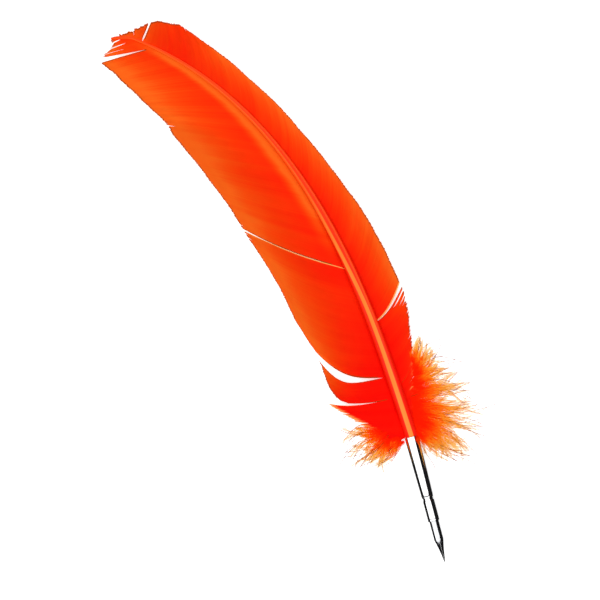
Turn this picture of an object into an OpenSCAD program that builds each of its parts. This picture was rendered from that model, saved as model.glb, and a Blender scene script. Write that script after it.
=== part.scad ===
// Feather quill pen with a metal ferrule, a nib holder and a push-in nib.
// It lies flat, grooved side of the feather up: +Y runs from the nib to the feather's tip,
// the feather bends towards -X, and z = 0 is the surface it lies on.

/* [Feather] */
// Length of the shaft above the ferrule
shaft_length = 256; // [236:2:266]
// Angle by which the shaft leans where it leaves the ferrule
base_lean = 3; // [0:0.5:5]
// Further turn of the shaft from the ferrule to its tip
curve_angle = 56; // [30:1:60]
// Greatest width of the wide vane
wide_width = 37; // [30:0.5:40]
// Average width of the narrow vane
narrow_width = 16.6; // [14:0.2:18]
// Thickness of the vanes
vane_thickness = 0.7; // [0.5:0.1:1]
// Height by which the feather's tip rises off the surface
tip_rise = 10; // [4:1:14]
// Height of the downy tufts
down_height = 13; // [10:1:20]

/* [Shaft] */
// Diameter of the shaft where it leaves the ferrule
shaft_diameter = 5.8; // [5.6:0.1:6]
// Wall of the shaft's horny skin
shaft_wall = 0.4; // [0.3:0.05:0.5]
// Length of the hollow end glued into the ferrule
stub_length = 22; // [18:1:24]

/* [Ferrule and holder] */
// Outer diameter of the ferrule's wide end
ferrule_wide = 7.0; // [6.8:0.1:7.4]
// Outer diameter of the ferrule's narrow end
ferrule_narrow = 5.7; // [5.6:0.1:6]
// Length of the ferrule
ferrule_length = 30.7; // [28:0.1:34]
// Wall of the ferrule
ferrule_wall = 0.35; // [0.3:0.05:0.4]
// Outer diameter of the nib holder's collar
collar_diameter = 5.5; // [5.4:0.05:5.6]
// Length of the nib holder's collar
collar_length = 10.4; // [10:0.1:11]

/* [Nib] */
// Width of the nib
nib_width = 4.5; // [4.4:0.05:4.5]
// Thickness of the nib's steel
nib_sheet = 0.25; // [0.2:0.01:0.25]
// Length of the nib that shows below the collar
nib_reach = 20.6; // [19:0.1:22]
// Length of each tine, from its root to the writing point
tine_length = 12; // [11:0.1:13]
// Width of the writing point
point_width = 0.6; // [0.5:0.05:0.8]

/* [Hidden] */
$fn = 64;

running_gap = 0.05;                          // between the nib and what it slides in
seat_gap = 0.02;                             // between parts that are glued or pressed together
slit = 0.06;                                 // width of the nib's slit and of the tine roots
vent_radius = 0.55;
nib_radius = nib_width / 2;
collar_bore = nib_radius + running_gap;
clutch_radius = nib_radius - nib_sheet - running_gap;
clutch_bore = clutch_radius - 0.45;
neck_length = 1.5;                           // groove between the collar and the ferrule
neck_radius = 2.45;
spigot_length = 7;                           // part of the holder inside the ferrule
collar_start = nib_reach;
collar_end = collar_start + collar_length;
ferrule_start = collar_end + neck_length;
ferrule_end = ferrule_start + ferrule_length;
pen_z = ferrule_wide / 2;                    // height of the pen's axis above the surface

shaft_radius = shaft_diameter / 2;
stub_start = ferrule_end - stub_length;      // cut end of the shaft
stub_taper = 0.84;                           // the stub narrows towards its cut end

// ---- The shaft's centre line, and the curved coordinates of the feather ----
// s is the distance along the shaft from the ferrule, w is the distance to its right.
step = 1;
centre_line = [for (i = 0, x = 0, y = ferrule_end; i <= shaft_length + 12;
                    x = x - step * sin(heading((i + 0.5) * step)),
                    y = y + step * cos(heading((i + 0.5) * step)),
                    i = i + 1) [x, y]];
function heading(s) = base_lean + curve_angle * pow(max(s, 0) / shaft_length, 2);
function centre(s) = let (i = min(floor(s / step), len(centre_line) - 2), f = s / step - i)
    centre_line[i] * (1 - f) + centre_line[i + 1] * f;
function feather_point(s, w, z) = let (c = centre(s), a = heading(s))
    [c.x + w * cos(a), c.y + w * sin(a), z];

// Half the shaft's width, which shrinks towards the tip, and half its depth
half_width_keys = [[0, 1], [0.12, 1.02], [0.34, 0.87], [0.59, 0.54], [0.82, 0.3], [1, 0.16]];
function half_width(s) = shaft_radius * lookup(s / shaft_length, half_width_keys);
function half_depth(s) = half_width(s) * lookup(s / shaft_length, [[0, 1], [0.3, 1], [1, 0.9]]);
// Height of the shaft's underside: it comes down to the surface, then rises to the tip
touch_s = 80;
base_clear = pen_z - shaft_radius;
function under_z(s) = s < touch_s ? base_clear * pow(1 - s / touch_s, 2)
    : tip_rise * pow((s - touch_s) / (shaft_length - touch_s), 2);
function shaft_z(s) = under_z(s) + half_depth(s);

// Distances along the shaft from here on are given for a shaft 256 mm long, and stretch with it
stretch = shaft_length / 256;
// The shaft's soft last centimetre bends aside
function tip_aside(s) = -3.6 * pow(max(0, s / stretch - 246) / 10, 1.3);

// ---- Barbs ----
// A barb leaves the shaft at root_s. It is [tip_s, tip_w, straight, power]: where it ends, the
// share of its climb that is even, and how late the rest of it turns towards the feather's tip.
function barb_s(root_s, barb, t) = root_s
    + (barb[0] - root_s) * (barb[2] * t + (1 - barb[2]) * pow(t, barb[3]));
function barb_w(root_s, side, tip_w, t) =
    let (root_w = side * (half_width(root_s * stretch) + 0.06) + tip_aside(root_s * stretch))
    root_w + (tip_w - root_w) * t;

// Outlines: share of each vane's width at distances along the shaft
wide_edge_keys = [[50, 0.8], [60, 0.87], [75, 0.946], [95, 0.951], [124, 1], [160, 0.978],
                  [185, 0.927], [200, 0.865], [209, 0.789], [228, 0.703], [240, 0.605], [257.8, 0.441]];
narrow_edge_keys = [[70, 1.169], [90, 1.169], [110, 1.084], [135, 0.928], [155, 0.855],
                    [190, 0.807], [215, 0.861], [229, 0.928], [234.3, 0.825], [238.1, 0.765],
                    [241, 0.627]];
function wide_reach(root_s) = lookup(root_s, [[31.5, 24], [60, 37], [88.5, 43], [160, 45], [234.8, 23]]);
function wide_barb(root_s) = let (tip_s = root_s + wide_reach(root_s))
    [tip_s, -wide_width * lookup(tip_s, wide_edge_keys),
     lookup(root_s, [[31.5, 0.35], [60, 0.5], [88.5, 0.7], [235, 0.85]]),
     lookup(root_s, [[31.5, 4], [60, 3]])];
function narrow_reach(root_s) = lookup(root_s, [[59, 13], [100, 19], [200, 18], [228, 8],
                                                [236, 2.2], [240.7, 0.2]]);
function narrow_barb(root_s) = let (tip_s = root_s + narrow_reach(root_s))
    [tip_s, narrow_width * lookup(tip_s, narrow_edge_keys), 0.15, 1.6];

// The feather's tip and the loose clumps at the vanes' lower ends. Each row is a root and its
// barb, with tip_w as a share of the vane's width. The first row's is below 0 on the wide side.
wide_tip_keys = [[235.2, 257.2, -0.359, 0.8, 2], [240, 256.6, -0.311, 0.85, 2],
                 [245, 254.4, -0.216, 0.9, 2], [250, 254.2, -0.151, 1, 2],
                 [254.5, 255.5, -0.114, 1, 2]];
narrow_tip_keys = [[241.4, 241.6, 0.554, 0.5, 2], [242.8, 243.6, 0.434, 0.5, 2],
                   [245, 247, 0.241, 0.6, 2], [247.5, 249.6, 0.096, 0.7, 2],
                   [250, 252.4, -0.06, 0.8, 2], [252.5, 254.6, -0.132, 1, 2],
                   [254.5, 256.2, -0.181, 1, 2]];
wide_clump_upper_keys = [[20.6, 25.4, -0.665, 0.3, 2.2], [22, 27.6, -0.741, 0.3, 2.6],
                         [23.5, 30.4, -0.792, 0.3, 3], [25.2, 34.5, -0.822, 0.28, 3.6],
                         [27.2, 39.5, -0.835, 0.25, 4.5], [31.2, 49.5, -0.832, 0.2, 6]];
wide_clump_lower_keys = [[6, 9.5, -0.486, 0.8, 2], [12, 18.2, -0.692, 0.6, 2.4],
                         [16, 24.8, -0.851, 0.5, 2.6], [20.3, 28, -0.9, 0.3, 3]];
narrow_clump_keys = [[28, 36, 0.759, 0.3, 1.8], [47, 57, 1.084, 0.2, 1.7],
                     [58.4, 69.4, 1.217, 0.1, 1.5]];
function column(keys, c) = [for (k = keys) [k[0], k[c]]];
function key_side(keys) = sign(keys[0][2]);
function key_barb(keys, root_s) = [lookup(root_s, column(keys, 1)),
    lookup(root_s, column(keys, 2)) * (key_side(keys) < 0 ? wide_width : narrow_width),
    lookup(root_s, column(keys, 3)), lookup(root_s, column(keys, 4))];

// Roots of the barbs beside the splits: a hairline one across the wide vane and one on each
// side at the tip
wide_start = 31.5;
wide_split = 88.5;
wide_end = 234.8;
narrow_start = 59.5;
narrow_end = 240.7;

// Height of a vane: it leaves the shaft near its underside and its edge curls up
root_height = 0.3;
function vane_z(root_s, w) = under_z(root_s) + vane_thickness
    + root_height * 2 * half_depth(root_s) + edge_curl(root_s) * pow(abs(w) / wide_width, 2);
function edge_curl(root_s) = lookup(root_s, [[0, 3], [60, 5], [130, 8], [220, 5], [shaft_length, 2]]);

// A grid of points over the barbs from root_a to root_b, one row for each barb
function barb_row(root_s, side, barb, columns, lift) = [for (j = [0:columns])
    let (t = j / columns, w = barb_w(root_s, side, barb[1], t))
    feather_point(barb_s(root_s, barb, t) * stretch, w, vane_z(root_s * stretch, w) + lift)];
function root_at(root_a, root_b, rows, i) = root_a + (root_b - root_a) * i / rows;

// Closed skin between two grids of the same size, the upper one first
module blade(upper, lower) {
    n = len(upper);
    m = len(upper[0]);
    points = concat([for (row = upper) each row], [for (row = lower) each row]);
    rim = concat([for (j = [0:m - 1]) j], [for (i = [1:n - 1]) i * m + m - 1],
                 [for (j = [m - 2:-1:0]) (n - 1) * m + j], [for (i = [n - 2:-1:1]) i * m]);
    k = n * m;
    top = [for (i = [0:n - 2], j = [0:m - 2]) let (a = i * m + j)
        each [[a, a + m, a + 1], [a + 1, a + m, a + m + 1]]];
    bottom = [for (f = top) [f[0] + k, f[2] + k, f[1] + k]];
    side = [for (r = [0:len(rim) - 1]) let (a = rim[r], b = rim[(r + 1) % len(rim)])
        each [[a, b, a + k], [b, b + k, a + k]]];
    faces = concat(top, bottom, side);
    // the faces wind one way on the wide side of the shaft and the other way on the narrow side
    outward = upper[0][m - 1].x < upper[0][0].x;
    polyhedron(points, outward ? faces : [for (f = faces) [f[2], f[1], f[0]]], convexity = 6);
}

// A stretch of the wide or the narrow vane
module wide_blade(root_a, root_b, rows) {
    roots = [for (i = [0:rows]) root_at(root_a, root_b, rows, i)];
    blade([for (r = roots) barb_row(r, -1, wide_barb(r), 8, 0)],
          [for (r = roots) barb_row(r, -1, wide_barb(r), 8, -vane_thickness)]);
}
module narrow_blade(root_a, root_b, rows) {
    roots = [for (i = [0:rows]) root_at(root_a, root_b, rows, i)];
    blade([for (r = roots) barb_row(r, 1, narrow_barb(r), 6, 0)],
          [for (r = roots) barb_row(r, 1, narrow_barb(r), 6, -vane_thickness)]);
}
// A group of barbs, from its list of keys
module key_blade(keys, rows) {
    roots = [for (i = [0:rows]) root_at(keys[0][0], keys[len(keys) - 1][0], rows, i)];
    side = key_side(keys);
    blade([for (r = roots) barb_row(r, side, key_barb(keys, r), 8, 0)],
          [for (r = roots) barb_row(r, side, key_barb(keys, r), 8, -vane_thickness)]);
}

// ---- Down ----
// A tuft is a cushion from the shaft out to the row of rim points [s, w]. It is as thick as
// its height in the middle and thin at the rim.
narrow_down_rim = [[-12, 13], [-16, 25], [-8, 33], [0, 35.5], [8, 31.5], [16, 31.5], [23, 29],
                   [30, 24.5], [36, 18.5], [34, 13.5]];
wide_down_rim = [[-6, -12], [-9, -20], [-3, -27], [5, -33], [9, -24]];
function tuft_point(root, rim, height, t, side) = let (p = root + (rim - root) * t)
    feather_point_low(p[0], p[1],
        0.4 + (side > 0 ? height * (0.3 + 0.7 * sin(180 * pow(t, 0.8))) * (1 - 0.55 * t) : 0));
// Below the ferrule's end the curved coordinates run straight on
function feather_point_low(s, w, z) = s >= 0 ? feather_point(s, w, z)
    : let (a = heading(0)) [w * cos(a) - s * -sin(a), ferrule_end + w * sin(a) + s * cos(a), z];
module tuft(root_a, root_b, rim, height) {
    n = len(rim) - 1;
    roots = [for (i = [0:n]) let (s = root_a + (root_b - root_a) * i / n)
        [s, sign(rim[0][1]) * (ferrule_wide / 2 + 0.3)]];
    blade([for (i = [0:n]) [for (j = [0:8])
              tuft_point(roots[i], rim[i], height * (0.5 + 0.5 * sin(180 * i / n)), j / 8, 1)]],
          [for (i = [0:n]) [for (j = [0:8]) tuft_point(roots[i], rim[i], height, j / 8, 0)]]);
}

// ---- Round and swept sections ----
// Turns a profile of [radius, distance from the writing point] about the pen's axis
module turned(profile) translate([0, 0, pen_z]) rotate([-90, 0, 0]) rotate_extrude() polygon(profile);

// One ring of the shaft, inset from its skin, with the groove along its upper side
sides = 20;
groove_depth = 0.28;
function ring_at(s, inset, groove) = [for (k = [0:sides - 1])
    let (a = 360 * k / sides, w = (half_width(s) - inset) * cos(a),
         dip = groove * half_depth(s) * exp(-pow(cos(a) / 0.35, 2)) * max(0, sin(a)),
         z = (half_depth(s) - inset) * sin(a) - dip)
    feather_point(s, w + tip_aside(s), shaft_z(s) + z)];
function stub_radius(y) = shaft_radius
    * (stub_taper + (1 - stub_taper) * (y - stub_start) / stub_length);
function stub_ring(y, inset) = [for (k = [0:sides - 1])
    let (a = 360 * k / sides, r = stub_radius(y) - inset) [r * cos(a), y, pen_z + r * sin(a)]];
function ring_faces(first, count, flip) = [for (i = [0:count - 2], k = [0:sides - 1])
    let (a = first + i * sides + k, b = first + i * sides + (k + 1) % sides)
    each flip ? [[a, a + sides, b], [b, a + sides, b + sides]]
              : [[a, b, a + sides], [b, b + sides, a + sides]]];
function start_cap(first) = [[for (k = [sides - 1:-1:0]) first + k]];
function end_cap(first) = [[for (k = [0:sides - 1]) first + k]];
shaft_rings = 48;
// The groove fades in over the first stretch above the ferrule
function groove_at(s) = groove_depth * min(1, max(0, s - 6) / 30);
function shaft_skin(inset, last_s) = concat(
    [for (y = [stub_start, stub_start + stub_length / 2]) stub_ring(y, inset)],
    // the rings lie closer together towards the tip
    [for (i = [0:shaft_rings]) let (s = last_s * (1 - pow(1 - i / shaft_rings, 1.5)))
        ring_at(s, inset, groove_at(s))]);

// ---- Overall box, so that the origin is the centre of its underside ----
function edge_point(barb) = feather_point(barb[0] * stretch, barb[1], 0);
outline = concat(
    [for (i = [0:100]) edge_point(wide_barb(root_at(wide_start, wide_end, 100, i)))],
    [for (i = [0:100]) edge_point(narrow_barb(root_at(narrow_start, narrow_end, 100, i)))],
    [for (k = wide_tip_keys) edge_point(key_barb(wide_tip_keys, k[0]))],
    [for (k = narrow_tip_keys) edge_point(key_barb(narrow_tip_keys, k[0]))],
    [for (p = narrow_down_rim) feather_point_low(p[0], p[1], 0)]);
low_x = min([for (p = outline) p.x]);
high_x = max([for (p = outline) p.x]);
high_y = max([for (p = outline) p.y]);
module placed() translate([-(low_x + high_x) / 2, -high_y / 2, 0]) children();

// ---- Sub-parts ----
module quill_shaft() color([1, 0.42, 0.12]) placed() {
    outer = shaft_skin(0, shaft_length);
    inner = shaft_skin(shaft_wall, shaft_length * 0.8);
    n = len(outer);
    k = n * sides;
    points = concat([for (r = outer) each r], [for (r = inner) each r]);
    annulus = [for (i = [0:sides - 1]) let (j = (i + 1) % sides)
        each [[i, i + k, j], [j, i + k, j + k]]];
    polyhedron(points, concat(ring_faces(0, n, false), end_cap((n - 1) * sides),
        ring_faces(k, n, true), start_cap(k + (n - 1) * sides), annulus), convexity = 8);
}

module shaft_pith() color([1, 0.85, 0.7]) placed() {
    first_s = 2;
    last_s = shaft_length * 0.78;
    rings = [for (i = [0:shaft_rings]) let (s = first_s + (last_s - first_s) * i / shaft_rings)
        ring_at(s, shaft_wall + seat_gap * 3, groove_at(s))];
    polyhedron([for (r = rings) each r], concat(start_cap(0),
        ring_faces(0, len(rings), false), end_cap((len(rings) - 1) * sides)), convexity = 6);
}

// Thin domed septa across the hollow stub, left from the feather's growth
module pulp_caps() color([0.95, 0.85, 0.7]) placed()
    for (i = [0:4]) {
        y = stub_start + 3 + i * 4;
        r = stub_radius(y - 1) * cos(180 / sides) - shaft_wall - seat_gap;
        turned([[0, y], [r, y - 0.8], [r, y - 0.55], [0, y + 0.25]]);
    }

module wide_vane_tip() color([1, 0.35, 0.05]) placed() key_blade(wide_tip_keys, 10);
module wide_vane_upper() color([1, 0.3, 0.04]) placed()
    wide_blade(wide_split + 0.15, wide_end, 60);
module wide_vane_lower() color([0.98, 0.12, 0.02]) placed()
    wide_blade(wide_start, wide_split - 0.15, 26);
module wide_clump_upper() color([0.97, 0.1, 0.02]) placed() key_blade(wide_clump_upper_keys, 10);
module wide_clump_lower() color([0.97, 0.1, 0.02]) placed() key_blade(wide_clump_lower_keys, 8);
module wide_down() color([1, 0.35, 0.1]) placed()
    tuft(-1, 5.5, wide_down_rim, down_height * 0.45);

module narrow_vane_tip() color([1, 0.35, 0.05]) placed() key_blade(narrow_tip_keys, 10);
module narrow_vane() color([1, 0.2, 0.03]) placed() narrow_blade(narrow_start, narrow_end, 60);
module narrow_clump() color([1, 0.2, 0.03]) placed() key_blade(narrow_clump_keys, 12);
module narrow_down() color([1, 0.35, 0.1]) placed()
    tuft(0, 25, narrow_down_rim, down_height);

// Radius of the ferrule's outside at a distance from the writing point
function ferrule_radius(y) = ferrule_narrow / 2
    + (ferrule_wide - ferrule_narrow) / 2 * (y - ferrule_start) / ferrule_length;
// Its bore fits the holder's spigot over its first stretch, then widens up to its mouth
grip_length = 3;
mouth_radius = ferrule_wide / 2 - ferrule_wall;
spigot_bore = neck_radius + seat_gap;
function ferrule_bore(y) = spigot_bore + (mouth_radius - spigot_bore)
    * max(0, y - ferrule_start - grip_length) / (ferrule_length - grip_length);
module ferrule() color([0.86, 0.87, 0.88]) placed() turned([
    [spigot_bore, ferrule_start], [ferrule_radius(ferrule_start) - 0.15, ferrule_start],
    [ferrule_radius(ferrule_start), ferrule_start + 0.2],
    [ferrule_radius(ferrule_end), ferrule_end - 0.15], [ferrule_radius(ferrule_end) - 0.15, ferrule_end],
    [mouth_radius, ferrule_end], [spigot_bore, ferrule_start + grip_length]]);

module ferrule_adhesive() color([0.85, 0.75, 0.5]) placed() {
    y_low = stub_start + 0.5;
    y_high = ferrule_end - 0.5;
    turned([[stub_radius(y_low) + seat_gap, y_low], [ferrule_bore(y_low) - seat_gap, y_low],
        [ferrule_bore(y_high) - seat_gap, y_high], [stub_radius(y_high) + seat_gap, y_high]]);
}

// Collar that takes the nib, a thinner neck, and a spigot pressed into the ferrule
module nib_holder() color([0.86, 0.87, 0.88]) placed() {
    collar_radius = collar_diameter / 2;
    spigot_end = ferrule_start + spigot_length;
    stop_y = collar_end + 0.6;
    turned([[collar_bore, collar_start], [collar_radius - 0.15, collar_start],
        [collar_radius, collar_start + 0.15], [collar_radius, collar_end - 0.15],
        [collar_radius - 0.15, collar_end], [neck_radius, collar_end + 0.15],
        [neck_radius, spigot_end], [clutch_bore, spigot_end], [clutch_bore, stop_y],
        [collar_bore, stop_y]]);
}

// Four-leaf spring clutch inside the collar: it presses the nib's heel outwards
module nib_clutch() color([0.75, 0.76, 0.78]) placed() difference() {
    union() {
        turned([[clutch_bore, collar_start + 0.8], [clutch_radius, collar_start + 0.8],
            [clutch_radius, collar_end + 0.2], [clutch_bore, collar_end + 0.2]]);
        turned([[clutch_bore, collar_end + 0.1], [collar_bore - seat_gap, collar_end + 0.1],
            [collar_bore - seat_gap, collar_end + 0.6 - seat_gap],
            [clutch_bore, collar_end + 0.6 - seat_gap]]);
    }
    for (a = [0, 90]) translate([0, 0, pen_z]) rotate([0, a + 45, 0])
        translate([-5, collar_start, -0.3]) cube([10, collar_length - 2, 0.6]);
}

// The nib's curved sheet: the upper part of a thin tube about the pen's axis
shell_cover = 0.45;                          // how far its edges come down below the axis
module nib_sheet_tube() difference() {
    turned([[nib_radius - nib_sheet, 0], [nib_radius, 0], [nib_radius, collar_end],
        [nib_radius - nib_sheet, collar_end]]);
    translate([-nib_width, -1, pen_z - shell_cover - nib_width])
        cube([nib_width * 2, collar_end + 2, nib_width]);
}
module vent() translate([0, tine_length, 0]) cylinder(r = vent_radius, h = pen_z * 3);
// Outline of one tine seen from above, on the +X side
module tine_outline() polygon([[slit / 2, 0], [point_width / 2, 0], [0.75, tine_length * 0.32],
    [1.35, tine_length * 0.62], [1.95, tine_length * 0.82], [nib_width, tine_length * 0.92],
    [nib_width, tine_length - slit], [slit / 2, tine_length - slit]]);
module tine(side) difference() {
    intersection() {
        nib_sheet_tube();
        scale([side, 1, 1]) linear_extrude(pen_z * 3) tine_outline();
    }
    vent();
}

module nib() color([0.72, 0.73, 0.76]) placed() difference() {
    intersection() {
        nib_sheet_tube();
        translate([-nib_width, tine_length, 0])
            cube([nib_width * 2, collar_end - tine_length, pen_z * 3]);
    }
    vent();
}
module tine_left() color([0.5, 0.51, 0.54]) placed() tine(-1);
module tine_right() color([0.5, 0.51, 0.54]) placed() tine(1);

quill_shaft();
shaft_pith();
pulp_caps();
wide_vane_tip();
wide_vane_upper();
wide_vane_lower();
wide_clump_upper();
wide_clump_lower();
wide_down();
narrow_vane_tip();
narrow_vane();
narrow_clump();
narrow_down();
ferrule();
ferrule_adhesive();
nib_holder();
nib_clutch();
nib();
tine_left();
tine_right();
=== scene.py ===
"""Quill pen: a dyed wing feather with a metal ferrule, nib holder and dip nib."""
import math

import bpy
import numpy as np
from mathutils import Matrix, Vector


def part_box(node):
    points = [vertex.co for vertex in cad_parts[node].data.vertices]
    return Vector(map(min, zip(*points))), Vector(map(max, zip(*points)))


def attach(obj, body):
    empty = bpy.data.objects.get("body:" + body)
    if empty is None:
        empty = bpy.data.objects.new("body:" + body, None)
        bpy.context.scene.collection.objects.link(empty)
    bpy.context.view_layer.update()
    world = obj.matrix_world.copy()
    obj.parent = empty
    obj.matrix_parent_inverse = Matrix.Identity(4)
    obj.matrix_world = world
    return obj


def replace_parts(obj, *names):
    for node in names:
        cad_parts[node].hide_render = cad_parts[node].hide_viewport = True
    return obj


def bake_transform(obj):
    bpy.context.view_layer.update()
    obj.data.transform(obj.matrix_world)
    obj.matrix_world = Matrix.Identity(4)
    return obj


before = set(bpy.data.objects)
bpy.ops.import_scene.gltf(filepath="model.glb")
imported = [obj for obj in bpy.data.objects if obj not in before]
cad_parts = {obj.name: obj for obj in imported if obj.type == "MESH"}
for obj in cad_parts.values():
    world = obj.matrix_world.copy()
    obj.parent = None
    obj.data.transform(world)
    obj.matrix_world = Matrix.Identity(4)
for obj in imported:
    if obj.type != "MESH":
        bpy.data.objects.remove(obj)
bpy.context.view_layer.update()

MM = 0.001
RNG = np.random.default_rng(7)

# ---------------------------------------------------------------- places from the frame
FERRULE_LOW, FERRULE_HIGH = (np.array(corner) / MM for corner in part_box("ferrule"))
HOLDER_LOW = np.array(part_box("nib_holder")[0]) / MM
NIB_LOW, NIB_HIGH = (np.array(corner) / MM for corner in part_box("nib"))
TINE_LOW = np.array(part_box("tine_right")[0]) / MM
PEN_X = (FERRULE_LOW[0] + FERRULE_HIGH[0]) / 2
PEN_Z = (FERRULE_LOW[2] + FERRULE_HIGH[2]) / 2
POINT_Y = TINE_LOW[1]                      # the writing point
FERRULE_END = FERRULE_HIGH[1] - POINT_Y    # distances from the writing point, in mm
FERRULE_START = FERRULE_LOW[1] - POINT_Y
COLLAR_START = HOLDER_LOW[1] - POINT_Y
NIB_END = NIB_HIGH[1] - POINT_Y
TINE_ROOT = NIB_LOW[1] - POINT_Y
NIB_RADIUS = (NIB_HIGH[0] - NIB_LOW[0]) / 2


# ---------------------------------------------------------------- camera, floor and light
PHOTO_LEAN = 14.9        # degrees that the pen's axis leans left of the picture's up
FIELD_WIDTH = 0.294      # metres across the picture, at the object
CAMERA_HEIGHT = 1.6
LOOK_AT = (-0.00338, -0.00386)


def make_camera():
    data = bpy.data.cameras.new("camera")
    data.sensor_width = 36
    data.lens = data.sensor_width * CAMERA_HEIGHT / FIELD_WIDTH
    data.clip_end = 50
    camera = bpy.data.objects.new("camera", data)
    camera.location = (LOOK_AT[0], LOOK_AT[1], CAMERA_HEIGHT)
    camera.rotation_euler = (0, 0, -math.radians(PHOTO_LEAN))
    bpy.context.collection.objects.link(camera)
    bpy.context.scene.camera = camera


def area_light(name, place, aim, size, radiance, lights_matt=True, in_reflections=True):
    """A soft rectangle that the camera doesn't see. Its power follows from its radiance."""
    data = bpy.data.lights.new(name, "AREA")
    data.shape = "RECTANGLE"
    data.size, data.size_y = size
    data.energy = math.pi * size[0] * size[1] * radiance
    light = bpy.data.objects.new(name, data)
    light.location = place
    light.rotation_euler = (Vector(aim) - Vector(place)).to_track_quat("-Z", "Y").to_euler()
    light.visible_camera = False
    light.visible_glossy = in_reflections
    light.visible_diffuse = lights_matt
    bpy.context.collection.objects.link(light)


def make_world():
    """White to the camera, a soft fill for matt surfaces, and dark in reflections."""
    world = bpy.data.worlds.new("studio")
    bpy.context.scene.world = world
    world.use_nodes = True
    nodes, links = world.node_tree.nodes, world.node_tree.links
    nodes.clear()
    out = nodes.new("ShaderNodeOutputWorld")
    path = nodes.new("ShaderNodeLightPath")
    pale, fill, dark = (nodes.new("ShaderNodeBackground") for _ in range(3))
    pale.inputs[0].default_value = (1, 1, 1, 1)
    fill.inputs[0].default_value = (1, 1, 1, 1)
    fill.inputs[1].default_value = 0.66
    dark.inputs[0].default_value = (0.012, 0.012, 0.013, 1)
    by_gloss, by_camera = (nodes.new("ShaderNodeMixShader") for _ in range(2))
    links.new(path.outputs["Is Glossy Ray"], by_gloss.inputs[0])
    links.new(fill.outputs[0], by_gloss.inputs[1])
    links.new(dark.outputs[0], by_gloss.inputs[2])
    links.new(path.outputs["Is Camera Ray"], by_camera.inputs[0])
    links.new(by_gloss.outputs[0], by_camera.inputs[1])
    links.new(pale.outputs[0], by_camera.inputs[2])
    links.new(by_camera.outputs[0], out.inputs[0])


def make_floor():
    """A wide white surface just below the pen, a little brighter than its light makes it."""
    half, z = 10.0, -0.0002
    mesh = bpy.data.meshes.new("floor")
    mesh.from_pydata([(-half, -half, z), (half, -half, z), (half, half, z), (-half, half, z)],
                     [], [(0, 1, 2, 3)])
    floor = bpy.data.objects.new("floor", mesh)
    bpy.context.collection.objects.link(floor)
    floor.visible_glossy = False
    mat = bpy.data.materials.new("floor")
    mat.use_nodes = True
    shader = mat.node_tree.nodes["Principled BSDF"]
    shader.inputs["Base Color"].default_value = (0.94, 0.94, 0.94, 1)
    shader.inputs["Roughness"].default_value = 1
    shader.inputs["Specular IOR Level"].default_value = 0
    shader.inputs["Emission Color"].default_value = (1, 1, 1, 1)
    shader.inputs["Emission Strength"].default_value = 0.45
    mesh.materials.append(mat)


make_camera()
make_world()
make_floor()
area_light("softbox", (-0.326, 0.46, 0.945), (0, 0.46, 0), (1.5, 3.08), 1.7, lights_matt=False)
area_light("key", (-0.5, 0.25, 1.3), (0, 0, 0), (1.6, 1.6), 1.6, in_reflections=False)
area_light("fill", (0.8, -0.5, 1.2), (0, 0, 0), (1.2, 1.2), 0.8, in_reflections=False)
bpy.context.scene.view_settings.view_transform = "Standard"


# ---------------------------------------------------------------- the feather's curved frame
# s is the distance along the shaft from the ferrule, w the distance to its right, both in mm
SHAFT_LENGTH = 256.0
BASE_LEAN = 3.0                      # degrees that the shaft leans where it leaves the ferrule
CURVE_ANGLE = 56.0                   # degrees that it turns from there to its tip
SHAFT_RADIUS = 2.9
WIDE_WIDTH = 37.0
TIP_RISE = 10.0
TOUCH_S = 80.0                       # where the shaft comes down to the surface
BASE_CLEAR = PEN_Z - SHAFT_RADIUS    # height of its underside at the ferrule
STEP = 0.5                           # spacing of the points of the shaft's centre line
S_BELOW, S_ABOVE = -60.0, 30.0       # how far that line runs past the shaft's ends


def heading(s):
    return np.radians(BASE_LEAN + CURVE_ANGLE * (np.maximum(s, 0) / SHAFT_LENGTH) ** 2)


LINE_S = np.arange(S_BELOW, SHAFT_LENGTH + S_ABOVE, STEP)
_turn = heading(LINE_S[:-1] + STEP / 2)
_x = np.concatenate([[0], np.cumsum(-np.sin(_turn) * STEP)])
_y = np.concatenate([[0], np.cumsum(np.cos(_turn) * STEP)])
LINE_X = _x - np.interp(0, LINE_S, _x)
LINE_Y = _y - np.interp(0, LINE_S, _y) + FERRULE_END


def feather_point(s, w, z):
    """Millimetres in the row frame, from the distance along the shaft and to its right."""
    s, w, z = np.broadcast_arrays(s, w, z)
    a = heading(s)
    x = np.interp(s, LINE_S, LINE_X) + w * np.cos(a) + PEN_X
    y = np.interp(s, LINE_S, LINE_Y) + w * np.sin(a) + POINT_Y
    return np.stack([x, y, z], -1)


def half_width(s):
    return SHAFT_RADIUS * np.interp(np.asarray(s) / SHAFT_LENGTH,
                                    [0, 0.12, 0.34, 0.59, 0.82, 1],
                                    [1, 1.02, 0.87, 0.54, 0.3, 0.16])


def half_depth(s):
    return half_width(s) * np.interp(np.asarray(s) / SHAFT_LENGTH, [0, 0.3, 1], [1, 1, 0.9])


def under_z(s):
    """Height of the shaft's underside: down to the surface, then up to the tip."""
    s = np.asarray(s, float)
    low = BASE_CLEAR * (1 - np.minimum(s, TOUCH_S) / TOUCH_S) ** 2
    high = TIP_RISE * ((np.maximum(s, TOUCH_S) - TOUCH_S) / (SHAFT_LENGTH - TOUCH_S)) ** 2
    return np.where(s < TOUCH_S, low, high)


def shaft_z(s):
    return under_z(s) + half_depth(s)


def tip_aside(s):
    """The shaft's soft last centimetre bends aside."""
    return -3.6 * (np.maximum(s - 246, 0) / 10) ** 1.3


def smooth(a, b, x):
    """0 below a, 1 above b, and a soft step between them."""
    t = np.clip((x - a) / (b - a), 0, 1)
    return t * t * (3 - 2 * t)


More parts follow.
